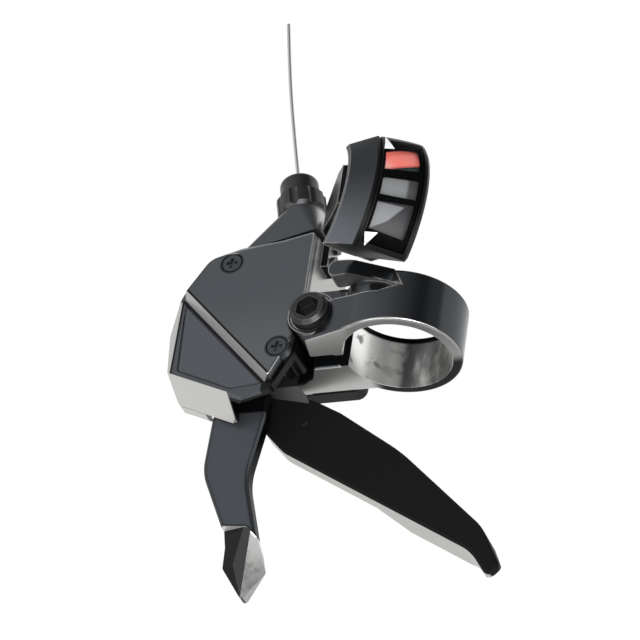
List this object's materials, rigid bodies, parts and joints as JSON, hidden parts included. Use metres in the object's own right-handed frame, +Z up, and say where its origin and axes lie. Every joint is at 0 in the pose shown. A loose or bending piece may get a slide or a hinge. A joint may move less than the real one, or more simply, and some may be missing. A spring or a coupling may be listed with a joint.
{
  "type": "trigger gear shifter",
  "caption": "Left-hand trigger gear shifter for a flat handlebar: hinged clamp band, flat casing, curved gear display, cable adjuster, long thumb lever and short finger trigger.",
  "frame": {"origin": "centre of the handlebar clamp bore, midway along the clamp band", "axes": "+X along the bore towards the cable exit, +Y forward to the casing, +Z up along the lever pivots"},
  "size_m": [0.1372, 0.0662, 0.0538],
  "materials": {
    "alloy": "glossy dark anodised alloy",
    "bolt_steel": "black oxide steel",
    "casing": "satin dark grey metallic",
    "panel": "satin dark grey",
    "steel": "bright steel",
    "bushing": "plain bearing",
    "drum": "moulded resin",
    "lever": "satin black moulding",
    "tip": "bright metal",
    "barrel": "black",
    "display": "gloss dark grey",
    "dial": "grey",
    "lens": "clear",
    "needle": "red"
  },
  "bodies": {
    "bracket": {"clamp_bracket": "alloy", "clamp_bolt": "bolt_steel", "upper_housing": "casing", "lower_housing": "casing", "top_cover": "casing", "deck_panel": "panel", "cover_screws": "bolt_steel", "bottom_cover": "panel", "bottom_screws": "bolt_steel", "main_axle": "steel", "axle_washer": "steel", "axle_clip": "steel", "thumb_return_spring": "steel", "trigger_pin": "steel", "trigger_return_spring": "steel", "stop_pawl_pin": "steel", "stop_pawl_spring": "steel", "indicator_case": "display", "indicator_dial": "dial", "indicator_bezel": "display", "indicator_lens": "lens", "indicator_screws": "bolt_steel"},
    "thumb_arm": {"thumb_plate": "steel", "thumb_lever": "lever", "feed_pawl_pin": "steel"},
    "drum": {"cable_drum": "drum", "drum_bushing": "bushing", "ratchet_plate": "steel", "notch_plate": "steel", "cable_winding": "steel", "cable_nipple": "steel"},
    "feed": {"feed_pawl": "steel"},
    "wire": {"inner_cable": "steel", "cable_tail": "steel"},
    "needle": {"indicator_needle": "needle"},
    "trigger_arm": {"trigger_plate": "steel", "trigger_lever": "lever", "trigger_tip": "tip"},
    "stop": {"stop_pawl": "steel"},
    "adjuster": {"adjuster_barrel": "barrel"}
  },
  "joints": [
    {"name": "thumb_lever_swing", "type": "hinge", "parent": "bracket", "child": "thumb_arm", "pos_m": [0.012, 0.02704, -0.0056], "axis": [0, 0, -1], "range_deg": [0, 30], "stiffness_Nm_per_rad": 0.5, "springref_deg": -28.65},
    {"name": "drum_turn", "type": "hinge", "parent": "bracket", "child": "drum", "pos_m": [0.012, 0.02704, 0.0015], "axis": [0, 0, -1], "range_deg": [0, 30]},
    {"name": "feed_pawl_rock", "type": "hinge", "parent": "thumb_arm", "child": "feed", "pos_m": [0.00235, 0.02533, -0.0012], "axis": [0, 0, -1], "range_deg": [0, 6]},
    {"name": "cable_pull", "type": "slide", "parent": "bracket", "child": "wire", "axis": [-0.9703, -0.2419, 0], "range_m": [0, 0.00341]},
    {"name": "needle_travel", "type": "hinge", "parent": "bracket", "child": "needle", "pos_m": [0.0218, 0.0077, 0.00861], "axis": [0, -0.7193, -0.6947], "range_deg": [0, 25]},
    {"name": "trigger_swing", "type": "hinge", "parent": "bracket", "child": "trigger_arm", "pos_m": [-0.003, 0.0405, -0.0038], "axis": [0, 0, 1], "range_deg": [0, 12], "stiffness_Nm_per_rad": 0.6, "springref_deg": -17.19},
    {"name": "stop_pawl_lift", "type": "hinge", "parent": "bracket", "child": "stop", "pos_m": [0.0105, 0.0402, 0.004], "axis": [0, 0, -1], "range_deg": [0, 8.25]},
    {"name": "adjuster_turn", "type": "hinge", "parent": "bracket", "child": "adjuster", "pos_m": [0.0303, 0.0249, 0.0015], "axis": [0.9703, 0.2419, 0], "range_deg": [-360, 360]}
  ],
  "couplings": [
    {"joint": "drum_turn", "follows": "thumb_lever_swing", "ratio": 1},
    {"joint": "feed_pawl_rock", "follows": "thumb_lever_swing", "ratio": 0.2},
    {"joint": "cable_pull", "follows": "thumb_lever_swing", "m_per_rad": 0.0065},
    {"joint": "needle_travel", "follows": "thumb_lever_swing", "ratio": 0.83333},
    {"joint": "stop_pawl_lift", "follows": "trigger_swing", "ratio": 0.6875}
  ]
}
